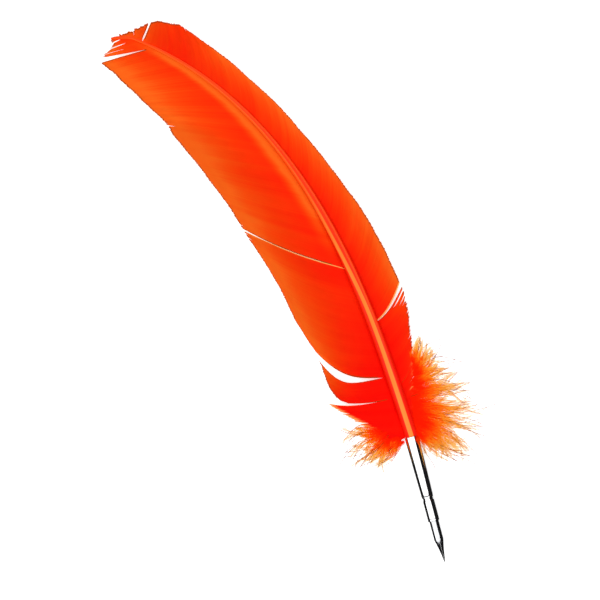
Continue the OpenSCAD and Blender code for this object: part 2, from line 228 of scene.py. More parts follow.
# ---------------------------------------------------------------- mesh helpers
def new_object(name, points, faces, sharp=None):
    """A smooth mesh object from millimetre points in the row frame."""
    mesh = bpy.data.meshes.new(name)
    mesh.from_pydata((np.asarray(points).reshape(-1, 3) * MM).tolist(), [], faces)
    mesh.polygons.foreach_set("use_smooth", [True] * len(mesh.polygons))
    if sharp:
        mesh.set_sharp_from_angle(angle=math.radians(sharp))
    mesh.update()
    obj = bpy.data.objects.new(name, mesh)
    bpy.context.collection.objects.link(obj)
    return obj


def set_value(obj, name, values):
    """A number for each point, which the materials read by name."""
    attribute = obj.data.attributes.new(name, "FLOAT", "POINT")
    attribute.data.foreach_set("value", np.asarray(values, np.float32).ravel())


def tube_faces(rows, length, sides):
    """Quads and end caps of many tubes: rows of them, each with length rings of sides points."""
    ring = np.arange(sides)
    a = np.arange(length - 1)[:, None] * sides + ring
    b = np.arange(length - 1)[:, None] * sides + np.roll(ring, -1)
    quads = np.stack([a, b, b + sides, a + sides], -1).reshape(-1, 4)
    offsets = (np.arange(rows) * length * sides)[:, None]
    body = (quads[None] + offsets[..., None]).reshape(-1, 4)
    start = ring[::-1] + offsets
    end = ring + (length - 1) * sides + offsets
    return body.tolist() + start.tolist() + end.tolist()


def strands(paths, widths, thicks, sides=4):
    """Points of many tapered strands. paths is rows x length x 3, widths and thicks the full sizes."""
    along = np.gradient(paths, axis=1)
    along /= np.linalg.norm(along, axis=-1, keepdims=True) + 1e-9
    across = np.cross(along, (0.0, 0.0, 1.0))
    across /= np.linalg.norm(across, axis=-1, keepdims=True) + 1e-9
    over = np.cross(across, along)
    angle = np.linspace(0, 2 * math.pi, sides, endpoint=False)
    ring = (across[:, :, None] * (np.cos(angle) * 0.5)[:, None] * widths[..., None, None]
            + over[:, :, None] * (np.sin(angle) * 0.5)[:, None] * thicks[..., None, None])
    return paths[:, :, None] + ring


# ---------------------------------------------------------------- outlines of the vanes
# Half-widths of the two vanes at distances along the shaft, in mm
WIDE_EDGE = [(50, 29.6), (60, 32.2), (75, 35), (95, 35.2), (124, 37.2), (160, 36.2), (185, 34.3),
             (200, 32), (209, 29.2), (228, 26), (240, 22.4), (257.8, 16.3)]
NARROW_EDGE = [(70, 19.4), (90, 19.4), (110, 18), (135, 15.4), (155, 14.2), (190, 13.4), (215, 14.3),
               (229, 15.4), (234.3, 13.7), (238.1, 12.7), (241, 10.4)]


def looked_up(pairs, s):
    return np.interp(s, *np.array(pairs, float).T)


# A barb runs from its root on the shaft to (tip_s, tip_w). Its distance along the shaft grows
# as straight * u + (1 - straight) * u ** power, where u is its share of the way across.
def wide_barb(root):
    tip_s = root + np.interp(root, [31.5, 60, 88.5, 160, 234.8], [24, 37, 43, 45, 23])
    straight = np.interp(root, [31.5, 60, 88.5, 235], [0.35, 0.5, 0.7, 0.88])
    power = np.interp(root, [31.5, 60], [4, 3])
    return tip_s, -looked_up(WIDE_EDGE, tip_s), straight, power


def narrow_barb(root):
    tip_s = root + np.interp(root, [59, 100, 200, 228, 236, 240.7], [13, 19, 18, 8, 2.2, 0.2])
    return tip_s, looked_up(NARROW_EDGE, tip_s), np.full_like(tip_s, 0.15), np.full_like(tip_s, 1.6)


# The smaller groups of barbs: root, tip_s, tip_w, straight, power
WIDE_TIP = [[235.2, 257.2, -13.3, 0.75, 2], [240, 256.6, -11.5, 0.85, 2], [245, 254.4, -8, 0.9, 2],
            [250, 254.2, -5.6, 1, 2], [254.5, 255.5, -4.2, 1, 2]]
WIDE_CLUMP_UPPER = [[20.6, 25.4, -24.6, 0.3, 2.2], [22, 27.6, -27.4, 0.3, 2.6],
                    [23.5, 30.4, -29.3, 0.3, 3], [25.2, 34.5, -30.4, 0.28, 3.6],
                    [27.2, 39.5, -30.9, 0.25, 4.5], [31.2, 49.5, -30.8, 0.2, 6]]
WIDE_CLUMP_LOWER = [[0.6, -1.6, -18.5, 0.9, 2], [1.6, 0.6, -15.5, 0.9, 2], [3.2, 5, -17, 0.9, 2],
                    [6, 9.5, -18, 0.8, 2], [12, 18.2, -25.6, 0.6, 2.4], [16, 24.8, -31.5, 0.5, 2.6],
                    [20.4, 28, -33.3, 0.3, 3]]
NARROW_TIP = [[241.4, 241.6, 9.2, 0.5, 2], [242.8, 243.6, 7.2, 0.5, 2], [245, 247, 4, 0.6, 2],
              [247.5, 249.6, 1.6, 0.7, 2], [250, 252.4, -1, 0.8, 2], [252.5, 254.6, -2.2, 1, 2],
              [254.5, 256.2, -3, 1, 2]]
NARROW_CLUMP = [[28, 36, 12.6, 0.3, 1.8], [47, 57, 18, 0.2, 1.7], [58.4, 69.4, 20.2, 0.1, 1.5]]
NARROW_BASE = [[0.6, 0, 9, 1, 2], [12, 15, 9.5, 0.6, 2], [28, 35, 11.8, 0.3, 1.8]]


def grouped(keys):
    """Barbs that change evenly from one row of keys to the next."""
    keys = np.array(keys, float)
    return lambda root: tuple(np.interp(root, keys[:, 0], keys[:, c]) for c in (1, 2, 3, 4))


# Where barbs have come unhooked: root on the shaft, widest gap in mm, and where the gap starts
WIDE_SPLITS = [(88.5, 0.6, 0.0), (88.5, 1.3, 0.78), (84.5, 0.7, 0.93), (91.5, 0.6, 0.95),
               (163.5, 1.1, 0.9), (86.9, 0.6, 0.93), (235, 0.2, 0.0)]
WIDE_TIP_SPLITS = [(235, 0.2, 0.0), (240, 0.4, 0.35), (245, 0.7, 0.25), (250.8, 0.8, 0.15)]
WIDE_LOW_SPLITS = [(1.9, 0.8, 0.75), (9, 0.8, 0.75), (14, 0.7, 0.85), (5, 0.6, 0.6)]
NARROW_SPLITS = [(213, 0.4, 0.85), (158, 0.2, 0.93), (241.1, 0.8, -0.1)]
NARROW_TIP_SPLITS = [(241.1, 0.8, -0.1), (245.4, 0.5, 0.2), (248.2, 0.5, 0.2), (251, 0.4, 0.3)]
NARROW_CLUMP_SPLITS = [(57.2, 1.0, 0.45), (55.4, 0.8, 0.62), (53.6, 0.5, 0.75), (48, 0.4, 0.85),
                       (38, 0.5, 0.75)]
SPLIT_REACH = 3.2       # mm along the shaft over which barbs lean away from a gap
SPLIT_OPENING = 0.35    # share of the way across over which a gap opens to its full width


def split_shift(root, t, splits):
    """How far along the shaft the gaps push each barb at each t."""
    shift = np.zeros(np.broadcast(root, t).shape)
    for middle, gap, start in splits:
        away = root - middle
        lean = np.sign(away) * gap / 2 * np.exp(-np.abs(away) / SPLIT_REACH)
        shift = shift + lean * smooth(start, min(start + SPLIT_OPENING, 1.0), t)
    return shift


def curl(root):
    """Height by which a barb of the full width turns up at its end."""
    return np.interp(root, [0, 60, 130, 220, SHAFT_LENGTH], [3, 5, 8, 5, 2])


VANE_LIFT = 0.3         # share of the shaft's depth at which the barbs leave it
VANE_CLEAR = 0.35       # least height of the vanes above the shaft's underside


def vane_z(root, w):
    return (under_z(root) + VANE_CLEAR + VANE_LIFT * 2 * half_depth(root)
            + curl(root) * (np.abs(w) / WIDE_WIDTH) ** 2)


BARB_RINGS = 18
BARB_THICKNESS = 0.16
BARB_OVERLAP = 1.5      # a barb's width over the distance to the next one
BARB_WIDTHS = (0.14, 0.8)
ROOT_SHARE = 0.82       # barbs start inside the shaft, at this share of its half width
RIPPLE = 0.03
EDGE_WAVE = 0.1
RIM_OF_GAP = 0.45       # mm: barbs that border a gap are as dark as this close to a barb's end


def barbs(name, node, material, root_a, root_b, barb, splits=(), fray=0.09, spacing=0.5, pale=()):
    """One stretch of vane, barb by barb, in place of the plain solid of that node.

    fray is how unevenly the barbs end, in mm, and pale lists the barbs painted pale orange as a painted
    highlight, standing in for light seen along a split."""
    count = max(int((root_b - root_a) / spacing), 4)
    root = np.linspace(root_a, root_b, count)[:, None]
    tip_s, tip_w, straight, power = barb(root)
    side = np.sign(tip_w[0, 0])
    root_w = side * half_width(root) * ROOT_SHARE + tip_aside(root)
    t = 1 - (1 - np.linspace(0, 1, BARB_RINGS)[None]) ** 1.25        # closer together at the end
    wave = EDGE_WAVE * (np.sin(root * 0.21 + 1) + 0.5 * np.sin(root * 0.53))
    reach = 1 + (fray * RNG.normal(0, 1, (count, 1)) + wave) / np.maximum(np.abs(tip_w - root_w), 2)
    u = t * reach
    s = root + (tip_s - root) * (straight * u + (1 - straight) * u ** power)
    w = root_w + (tip_w - root_w) * u
    z = vane_z(root, w) + RIPPLE * t * (np.sin(root * 0.9 + 3 * t) + np.sin(root * 0.31 + 2))
    flat = feather_point(s, w, z)
    along = np.gradient(flat, axis=1)
    along /= np.linalg.norm(along, axis=-1, keepdims=True)
    gap = np.linalg.norm(np.cross(np.gradient(flat, axis=0), along), axis=-1)
    paths = feather_point(s + split_shift(root, t, splits), w, z)
    widths = np.clip(gap * BARB_OVERLAP, *BARB_WIDTHS) * (1 - 0.5 * smooth(0.97, 1, t))
    thicks = np.full_like(widths, BARB_THICKNESS) * (1 - 0.6 * t)
    thicks[:, 0] *= 1.5
    obj = new_object(name, strands(paths, widths, thicks), tube_faces(count, BARB_RINGS, 4))
    obj.data.materials.append(material)
    # length of barb left to its end; the barbs that border a gap count as close to it
    step = np.linalg.norm(np.diff(paths, axis=1), axis=-1)
    end = np.concatenate([np.cumsum(step[:, ::-1], axis=1)[:, ::-1], np.zeros((count, 1))], axis=1)
    end[[0, -1]] = np.where(t > 0.12, np.minimum(end[[0, -1]], RIM_OF_GAP), end[[0, -1]])
    drift = np.convolve(RNG.normal(0, 1, count + 8), np.ones(9) / 9, "valid")[:, None]
    tone = 0.5 + 0.3 * (RNG.random((count, 1)) - 0.5) + 0.4 * drift
    # painted highlight: marks the barbs listed in pale, which the material paints pale orange
    painted_gap_light = np.zeros((count, 1))
    painted_gap_light[list(pale)] = 1
    for attribute, values in (("across", np.abs(w)), ("share", t), ("along", s), ("end", end),
                              ("tone", tone), ("painted_gap_light", painted_gap_light)):
        set_value(obj, attribute, np.repeat(np.broadcast_to(values, (count, BARB_RINGS)).ravel(), 4))
    strip_uv(obj, count)
    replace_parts(obj, node)
    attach(obj, "feather")


def strip_uv(obj, count):
    """Lays the barbs side by side over the square, upper half and lower half apart."""
    layer = obj.data.uv_layers.new(name="OFBake")
    corner = np.empty(len(obj.data.loops), np.int32)
    obj.data.loops.foreach_get("vertex_index", corner)
    barb, rest = np.divmod(corner, BARB_RINGS * 4)
    ring, k = np.divmod(rest, 4)
    starts = np.empty(len(obj.data.polygons), np.int32)
    totals = np.empty(len(obj.data.polygons), np.int32)
    obj.data.polygons.foreach_get("loop_start", starts)
    obj.data.polygons.foreach_get("loop_total", totals)
    face = np.repeat(np.arange(len(starts)), totals)
    # corner k of the diamond: 0 and 2 are its edges, 1 its upper ridge, 3 its lower one
    lower = np.zeros(len(starts), bool)
    np.logical_or.at(lower, face, k == 3)
    half = lower[face]
    place = np.where(k == 0, 0.08, np.where(k == 2, 0.92, 0.5))
    u = (barb + place) / count
    v = ring / (BARB_RINGS - 1) * 0.48 + np.where(half, 0.51, 0.005)
    layer.data.foreach_set("uv", np.stack([u, v], -1).astype(np.float32).ravel())


# ---------------------------------------------------------------- materials
class Nodes:
    """A material and short ways to add nodes to it."""

    def __init__(self, name):
        self.material = bpy.data.materials.new(name)
        self.material.use_nodes = True
        self.tree = self.material.node_tree
        self.shader = self.tree.nodes["Principled BSDF"]

    def add(self, kind, **settings):
        node = self.tree.nodes.new("ShaderNode" + kind)
        for key, value in settings.items():
            setattr(node, key, value)
        return node

    def link(self, a, b):
        self.tree.links.new(a, b)

    def value(self, name):
        return self.add("Attribute", attribute_name=name).outputs["Fac"]

    def math(self, operation, a, b=None):
        node = self.add("Math", operation=operation)
        for slot, v in enumerate((a, b)):
            if isinstance(v, (int, float)):
                node.inputs[slot].default_value = v
            elif v is not None:
                self.link(v, node.inputs[slot])
        return node.outputs[0]

    def between(self, value, low, high, to_low=0.0, to_high=1.0):
        node = self.add("MapRange", interpolation_type="SMOOTHSTEP")
        self.link(value, node.inputs["Value"])
        for key, v in (("From Min", low), ("From Max", high), ("To Min", to_low), ("To Max", to_high)):
            node.inputs[key].default_value = v
        return node.outputs["Result"]

    def ramp(self, value, stops):
        node = self.add("ValToRGB")
        elements = node.color_ramp.elements
        while len(elements) < len(stops):
            elements.new(0.5)
        for element, (place, colour) in zip(elements, stops):
            element.position = place
            element.color = (*colour, 1)
        self.link(value, node.inputs[0])
        return node.outputs[0]

    def mix(self, factor, a, b):
        node = self.add("Mix", data_type="RGBA")
        for socket, v in ((node.inputs[0], factor), (node.inputs[6], a), (node.inputs[7], b)):
            if isinstance(v, tuple):
                socket.default_value = (*v, 1)
            elif isinstance(v, (int, float)):
                socket.default_value = v
            else:
                self.link(v, socket)
        return node.outputs[2]

    def noise(self, scale, detail=3, stretch=None):
        node = self.add("TexNoise")
        node.inputs["Scale"].default_value = scale
        node.inputs["Detail"].default_value = detail
        where = self.add("TexCoord").outputs["Object"]
        if stretch:
            mapping = self.add("Mapping")
            mapping.inputs["Scale"].default_value = stretch
            self.link(where, mapping.inputs["Vector"])
            where = mapping.outputs[0]
        self.link(where, node.inputs["Vector"])
        return node.outputs["Fac"]

    def bump(self, height, strength, distance):
        node = self.add("Bump")
        node.inputs["Strength"].default_value = strength
        node.inputs["Distance"].default_value = distance
        self.link(height, node.inputs["Height"])
        self.link(node.outputs[0], self.shader.inputs["Normal"])

    def set(self, **inputs):
        for key, v in inputs.items():
            socket = self.shader.inputs[key.replace("_", " ")]
            if hasattr(v, "node"):
                self.link(v, socket)
            else:
                socket.default_value = v


# Stops of the dye, from deep red to bright orange, whose upper stops also give the painted highlight
# beside the shaft, and the brown of a barb's very end
DYE_AND_HIGHLIGHT_STOPS = [(0, (0.92, 0.0018, 0.0006)), (0.2, (0.93, 0.006, 0.0008)), (0.4, (0.94, 0.018, 0.001)),
       (0.6, (0.95, 0.039, 0.0012)), (0.8, (0.95, 0.07, 0.003)), (1, (0.96, 0.13, 0.009))]
RIM_BROWN = (0.3, 0.055, 0.004)
PALE_ORANGE = (1.0, 0.42, 0.1)


def vane_material(name, narrow=False, fraying=False):
    """Dyed barbs: deep red by the lower shaft, orange towards the edge and the tip; on the wide vane a
    painted highlight beside the upper shaft.
    """
    m = Nodes(name)
    across, along, share, end = (m.value(v) for v in ("across", "along", "share", "end"))
    if narrow:
        base = m.math("ADD", m.between(along, 40, 110, 0.17, 0.36), m.between(along, 110, 170, 0, 0.1))
        base = m.math("ADD", base, m.between(along, 228, 246, 0, 0.35))
        growth = m.math("MULTIPLY", m.math("POWER", share, 1.5), m.between(along, 205, 228, 1, 0.25))
        growth = m.math("MULTIPLY", growth, m.between(along, 50, 78, 0.35, 1))
    else:
        base = m.math("ADD", m.between(along, 5, 80, 0.09, 0.35), m.between(along, 80, 250, 0, 0.22))
        rising = m.math("MINIMUM", m.math("POWER", m.math("MULTIPLY", share, 1.12), 2.2), 1.0)
        growth = m.math("MULTIPLY", rising, m.between(along, 20, 50))
    dye_and_highlight = m.math("ADD", base, m.math("MULTIPLY", growth, m.math("SUBTRACT", 1.0, base)))
    if not narrow:
        # painted highlight: beside the upper shaft the wide vane is lightened towards bright orange,
        # where it turns up to the light
        beside = m.math("MULTIPLY", across, m.between(along, 150, 240, 1, 1.9))
        upper = m.math("MULTIPLY", m.between(along, 85, 135), m.between(along, 222, 252, 0.95, 0))
        painted_highlight = m.math("MULTIPLY", m.between(beside, 3.2, 9.5, 1, 0), upper)
        dye_and_highlight = m.math("ADD", dye_and_highlight, m.math("MULTIPLY", painted_highlight, m.math("SUBTRACT", 1.12, dye_and_highlight)))
    streak = m.math("MULTIPLY", m.math("SUBTRACT", m.value("tone"), 0.5), 0.2)
    mottle = m.math("MULTIPLY", m.math("SUBTRACT", m.noise(35), 0.5), 0.2)
    base = m.ramp(m.math("ADD", m.math("ADD", dye_and_highlight, streak), mottle), DYE_AND_HIGHLIGHT_STOPS)
    if fraying:
        # the frayed barbs pale to orange towards their ends
        paler_near_end = m.between(end, 0.3, 4.0, 0.45 if narrow else 0.85, 0)
        paler_near_end = m.math("MULTIPLY", paler_near_end, m.between(share, 0.5, 0.8))
        base = m.mix(paler_near_end, base, PALE_ORANGE)
    else:
        base = m.mix(m.between(end, 0.4, 1.2, 0.8, 0), base, RIM_BROWN)
        # painted highlight: the marked barbs turn pale orange, standing in for light seen along a split
        base = m.mix(m.value("painted_gap_light"), base, PALE_ORANGE)
    m.set(Base_Color=base, Roughness=m.between(m.noise(220), 0.3, 0.7, 0.5, 0.72),
          Specular_IOR_Level=0.02)
    m.bump(m.noise(2600, detail=2), 0.25, 0.00008)
    return m.material


def shaft_material():
    """Horn of the shaft: a painted highlight along a ridge to the left, then a groove and a fainter
    painted highlight to its right.
    """
    m = Nodes("horn")
    place, along = m.value("place"), m.value("along")   # place is -1 at the left side, 1 at the right
    middle = m.between(along, 60, 115, 0.0, -0.6)
    half = m.between(along, 0, 45, 0.38, 0.34)
    away = m.math("DIVIDE", m.math("ABSOLUTE", m.math("SUBTRACT", place, middle)), half)
    # painted highlight: the bright ridge to the left of the groove
    ridge_highlight = m.between(away, 0.85, 1.15, 1, 0)
    flank = m.ramp(m.between(along, 0, 220), [(0, (0.9, 0.009, 0.001)), (0.5, (0.88, 0.026, 0.001)),
                                              (1, (0.9, 0.045, 0.001))])
    # a fainter painted highlight on a second ridge, right of the groove
    from_second = m.math("ABSOLUTE", m.math("SUBTRACT", place, 0.6))
    second_ridge_highlight = m.math("MULTIPLY", m.between(from_second, 0.1, 0.25, 1, 0), m.between(along, 30, 80))
    # colours of the painted ridge highlight, fading up the shaft
    ridge_highlight_colour = m.ramp(m.between(along, 0, 230), [(0, (1.0, 0.24, 0.035)), (0.4, (1.0, 0.19, 0.02)),
                                                     (0.6, (1.0, 0.09, 0.005)), (1, (1.0, 0.1, 0.006))])
    streaks = m.noise(900, detail=3, stretch=(1, 0.03, 1))
    colour = m.mix(m.math("MULTIPLY", second_ridge_highlight, 0.85), flank, (0.94, 0.065, 0.004))
    colour = m.mix(ridge_highlight, colour, ridge_highlight_colour)
    colour = m.mix(m.between(streaks, 0.45, 0.8, 0, 0.12), colour, (0.85, 0.03, 0.002))
    m.set(Base_Color=colour, Roughness=m.between(streaks, 0.2, 0.8, 0.3, 0.45),
          Specular_IOR_Level=0.08)
    m.bump(streaks, 0.3, 0.00006)
    return m.material


def down_material():
    """Fluff: red at the root, then orange, paling to thin yellow hair. Stems are darker. A faint red
    emission is painted light for light passing through the down.
    """
    m = Nodes("down")
    wander = m.math("MULTIPLY", m.math("SUBTRACT", m.value("tone"), 0.5), 0.22)
    share = m.math("ADD", m.value("share"), wander)
    fluff = m.ramp(share, [(0.17, (0.95, 0.004, 0.001)), (0.28, (0.98, 0.045, 0.001)),
                           (0.4, (1.0, 0.2, 0.005)), (0.55, (1.0, 0.43, 0.03)),
                           (0.75, (1.0, 0.64, 0.13)), (1.0, (1.0, 0.8, 0.36))])
    stems = m.ramp(share, [(0.1, (0.92, 0.003, 0.001)), (0.28, (0.8, 0.015, 0.001)),
                           (0.5, (0.48, 0.035, 0.001)), (0.75, (0.34, 0.06, 0.003)),
                           (1.0, (0.26, 0.09, 0.01))])
    colour = m.mix(m.value("stem"), fluff, stems)
    # painted light: a faint red emission stands in for light passing through the down
    m.set(Base_Color=m.mix(m.value("stray"), colour, (0.09, 0.035, 0.006)), Specular_IOR_Level=0.0,
          Roughness=m.between(m.noise(300), 0.3, 0.7, 0.55, 0.75),
          Emission_Color=(1.0, 0.04, 0.0, 1.0), Emission_Strength=0.2)
    return m.material


def metal_material(name, colour, low, high, turned=True):
    """Bright plated metal: faint turning lines, and smudges that change its gloss."""
    m = Nodes(name)
    smudge = m.noise(160, detail=4)
    tint = m.mix(m.between(smudge, 0.35, 0.75), colour, tuple(c * 0.93 for c in colour))
    m.set(Base_Color=tint, Metallic=1.0, Roughness=m.between(smudge, 0.3, 0.75, low, high))
    lines = m.noise(1500, detail=2, stretch=(0.05, 1, 0.05) if turned else (1, 0.05, 1))
    m.bump(lines, 0.05, 0.00002)
    return m.material


def plain_material(name, dark, light, roughness, scale, metallic=0.0):
    """One of the hidden pieces' materials: two close tones and a fine grain."""
    m = Nodes(name)
    grain = m.noise(scale, detail=4)
    m.set(Base_Color=m.mix(m.between(grain, 0.3, 0.7), dark, light), Metallic=metallic,
          Roughness=m.between(grain, 0.3, 0.7, roughness * 0.8, roughness * 1.2))
    m.bump(grain, 0.2, 0.00005)
    return m.material


WIDE = vane_material("wide_vane")
WIDE_FRAYED = vane_material("wide_vane_frayed", fraying=True)
NARROW = vane_material("narrow_vane", narrow=True)
NARROW_FRAYED = vane_material("narrow_vane_frayed", narrow=True, fraying=True)
HORN = shaft_material()
DOWN = down_material()
CHROME = metal_material("chrome", (0.86, 0.86, 0.87), 0.04, 0.09)
NIB_STEEL = metal_material("nib_steel", (0.66, 0.67, 0.69), 0.05, 0.12, turned=False)


# ---------------------------------------------------------------- shaft
SHAFT_SIDES = 48
STUB_LENGTH = 22        # the hollow end inside the ferrule
STUB_TAPER = 0.84
GROOVE = 0.28           # depth of the groove, as a share of the shaft's half depth
GROOVE_WIDTH = 0.33     # its half width, as a share of the shaft's


def shaft_piece():
    s = np.concatenate([np.linspace(-STUB_LENGTH, 0, 8)[:-1], np.arange(0, SHAFT_LENGTH + 0.1, 1.0)])
    angle = np.linspace(0, 2 * math.pi, SHAFT_SIDES, endpoint=False)
    taper = np.interp(s, [-STUB_LENGTH, 0], [STUB_TAPER, 1])
    flat = np.clip((s - 4) / 60, 0, 1) * 0.35                      # the section grows squarer
    ss, aa = s[:, None], angle[None]
    power = (1 - flat)[:, None]
    cx = np.sign(np.cos(aa)) * np.abs(np.cos(aa)) ** power
    cz = np.sign(np.sin(aa)) * np.abs(np.sin(aa)) ** power
    groove = GROOVE * np.clip((s - 6) / 30, 0, 1)[:, None]
    centre = np.interp(s, [0, 40, 95, SHAFT_LENGTH], [0.05, 0.12, 0.2, 0.25])[:, None]
    notch = np.exp(-((np.cos(aa) - centre) / GROOVE_WIDTH) ** 2)
    dip = groove * half_depth(ss) * notch * np.maximum(0, np.sin(aa))
    w = half_width(np.maximum(ss, 0)) * taper[:, None] * cx + tip_aside(ss)
    z_mid = shaft_z(np.maximum(ss, 0))
    z = z_mid + half_depth(np.maximum(ss, 0)) * taper[:, None] * cz - dip
    points = feather_point(np.maximum(ss, 0), w, z)
    below = s < 0
    # below the ferrule's end the barrel runs straight along the pen's axis
    points[below, :, 0] = PEN_X + w[below]
    points[below, :, 1] = (POINT_Y + FERRULE_END + s[below])[:, None]
    obj = new_object("quill_shaft_horn", points, tube_faces(1, len(s), SHAFT_SIDES))
    set_value(obj, "place", np.broadcast_to(cx, w.shape))
    set_value(obj, "along", np.broadcast_to(ss, w.shape))
    obj.data.materials.append(HORN)
    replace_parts(obj, "quill_shaft")
    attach(obj, "feather")


shaft_piece()

# ---------------------------------------------------------------- vanes
WIDE_SPLIT = 88.5
TIP_SPLIT = 235
NARROW_TIP_SPLIT = 241.05
LAST_BARB = SHAFT_LENGTH - 1.5
# the last barb here gets a painted highlight along the split above it
barbs("wide_barbs_lower", "wide_vane_lower", WIDE, 31.5, WIDE_SPLIT - 0.2, wide_barb,
      WIDE_SPLITS, pale=[-1])
barbs("wide_barbs_upper", "wide_vane_upper", WIDE, WIDE_SPLIT + 0.2, TIP_SPLIT - 0.2, wide_barb,
      WIDE_SPLITS)
barbs("wide_barbs_tip", "wide_vane_tip", WIDE, TIP_SPLIT + 0.2, LAST_BARB, grouped(WIDE_TIP),
      WIDE_TIP_SPLITS, fray=0.3, spacing=0.35)
barbs("wide_clump_upper_barbs", "wide_clump_upper", WIDE, 20.6, 31.2, grouped(WIDE_CLUMP_UPPER),
      spacing=0.3)
barbs("wide_clump_lower_barbs", "wide_clump_lower", WIDE_FRAYED, 0.6, 20.4,
      grouped(WIDE_CLUMP_LOWER), WIDE_LOW_SPLITS, fray=0.5, spacing=0.3)
# the first barb here gets a painted highlight along the split below it
barbs("narrow_barbs", "narrow_vane", NARROW, 59.2, NARROW_TIP_SPLIT - 0.35, narrow_barb,
      NARROW_SPLITS, pale=[0])
barbs("narrow_barbs_tip", "narrow_vane_tip", NARROW, NARROW_TIP_SPLIT + 0.35, LAST_BARB,
      grouped(NARROW_TIP), NARROW_TIP_SPLITS, fray=0.25, spacing=0.35)
barbs("narrow_clump_barbs", "narrow_clump", NARROW, 26, 58.4, grouped(NARROW_CLUMP),
      NARROW_CLUMP_SPLITS, fray=0.35, spacing=0.42)
barbs("narrow_base_barbs", "narrow_down", NARROW_FRAYED, 0.6, 28, grouped(NARROW_BASE), fray=1.6,
      spacing=0.4)


# ---------------------------------------------------------------- down
RINGS = 9
HAIR_RADIUS = 0.045
HAIR_PALING = 0.08       # a hair is paler than its strand by this much of the way to the rim
STRAND_WIDTH = 0.16
STRAND_STEM = 0.3        # how far a common strand takes on the colour of a stem
LEADS = 2                # each lock has two thicker strands, all stem
LEAD_WIDTH = 0.42
STRAY_WIDTH = 0.32
LOCK_REACHES = [0.45, 0.6, 0.75, 0.88, 1.0]       # lengths of locks, as shares of the way to the rim
STRAY_REACH = (0.98, 1.18)
LOWEST_STRAND, LOWEST_HAIR = 0.25, 0.12


def down_strands(roots, rim, locks, per_lock, height, strays):
    """Strands of down: each lock's part near the shaft and draw together at its tip.

    Gives their paths, shares of the way to the rim, tones, widths, how far each is a stem, and
    which are strays. Each stray stands alone."""
    roots, rim = np.array(roots, float), np.array(rim, float)
    root_place, rim_place = np.linspace(0, 1, len(roots)), np.linspace(0, 1, len(rim))
    rim_length = np.concatenate([[0], np.cumsum(np.linalg.norm(np.diff(rim, axis=0), axis=1))])
    side = np.sign(rim[0, 1])
    t = np.linspace(0, 1, RINGS)
    rows = []
    for i in range(locks + strays):
        alone = i >= locks
        place = RNG.random() if alone else (i + RNG.random()) / locks
        place = np.interp(place, rim_length / rim_length[-1], rim_place)
        start_s = np.interp(place, root_place, roots[:, 0]) + RNG.normal(0, 0.9)
        start_w = np.interp(place, root_place, roots[:, 1]) + side * 2 * RNG.random()
        reach = RNG.uniform(*STRAY_REACH) if alone else RNG.choice(LOCK_REACHES)
        reach += RNG.normal(0, 0.03)
        end_s = start_s + (np.interp(place, rim_place, rim[:, 0]) - start_s) * reach
        end_w = start_w + (np.interp(place, rim_place, rim[:, 1]) - start_w) * reach
        span = math.hypot(end_s - start_s, end_w - start_w)
        # unit steps along the lock and square to it
        run = np.array([end_s - start_s, end_w - start_w]) / span
        square = np.array([-run[1], run[0]])
        swing = RNG.normal(0, 0.12) * span
        hook = RNG.normal(0, 0.16) * span
        spread = RNG.uniform(0.7, 1.3) * min(1, span / 14)
        lift = height * RNG.uniform(0.2, 1.0) * (1.25 - reach)
        tone = RNG.random()
        for k in range(1 if alone else per_lock):
            lead = k < LEADS and not alone
            off, rise = (1.3 * k, 1.2) if lead else RNG.normal(0, 1, 2)
            ahead = span * (1 + RNG.normal(0, 0.05)) * t
            fan = np.abs(np.sin(math.pi * t ** 0.65)) + 0.08 * t
            bow = swing * np.sin(math.pi * t) + hook * t ** 3 + 0.3 * np.sin(t * 8 + off * 3) * t
            across = bow + off * spread * (0.5 if alone else fan)
            s = start_s + run[0] * ahead + square[0] * across
            w = start_w + run[1] * ahead + square[1] * across
            z = np.interp(t, [0, 0.5, 1], [2.4, 2.6 + lift, 1.2 + lift * 0.6]) + rise * fan * 0.7
            path = feather_point(s, w, np.maximum(z, LOWEST_STRAND))
            own_tone = 0.6 * tone + 0.4 * RNG.random()
            width = LEAD_WIDTH if lead else STRAY_WIDTH if alone else STRAND_WIDTH
            rows.append((path, t * min(reach, 1), own_tone, width * (1 - (0.1 if alone else 0.7) * t),
                         1.0 if lead else STRAND_STEM, float(alone)))
    return (np.array(column) for column in zip(*rows))


def tuft(name, node, roots, rim, locks, per_lock, hairs_each, height, strays):
    """A tuft of down from roots on the shaft to its rim, with hairs on all but its strays."""
    paths, shares, tones, widths, stemmed, alone = down_strands(roots, rim, locks, per_lock,
                                                                height, strays)
    stems = strands(paths, widths, widths, sides=3)
    haired = alone == 0
    hairs, hair_share, hair_tone = barbules(paths[haired], shares[haired], tones[haired], hairs_each)
    first = stems.size // 3
    corners = np.array([(0, 1, 2), (0, 3, 1), (1, 3, 2), (2, 3, 0)])
    spikes = (np.arange(len(hairs))[:, None, None] * 4 + first + corners).reshape(-1, 3)
    obj = new_object(name, np.concatenate([stems.reshape(-1, 3), hairs.reshape(-1, 3)]),
                     tube_faces(len(paths), RINGS, 3) + spikes.tolist())
    bare = np.zeros(len(hairs) * 4)
    for attribute, on_strands, on_hairs in (
            ("share", np.repeat(shares.ravel(), 3), np.repeat(hair_share, 4)),
            ("tone", np.repeat(tones, RINGS * 3), np.repeat(hair_tone, 4)),
            ("stem", np.repeat(stemmed, RINGS * 3), bare),
            ("stray", np.repeat(alone, RINGS * 3), bare)):
        set_value(obj, attribute, np.concatenate([on_strands, on_hairs]))
    obj.data.materials.append(DOWN)
    # light passes through down: it shades neither itself nor the surface below it
    obj.visible_shadow = False
    obj.visible_diffuse = False
    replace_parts(obj, node)
    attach(obj, "feather")


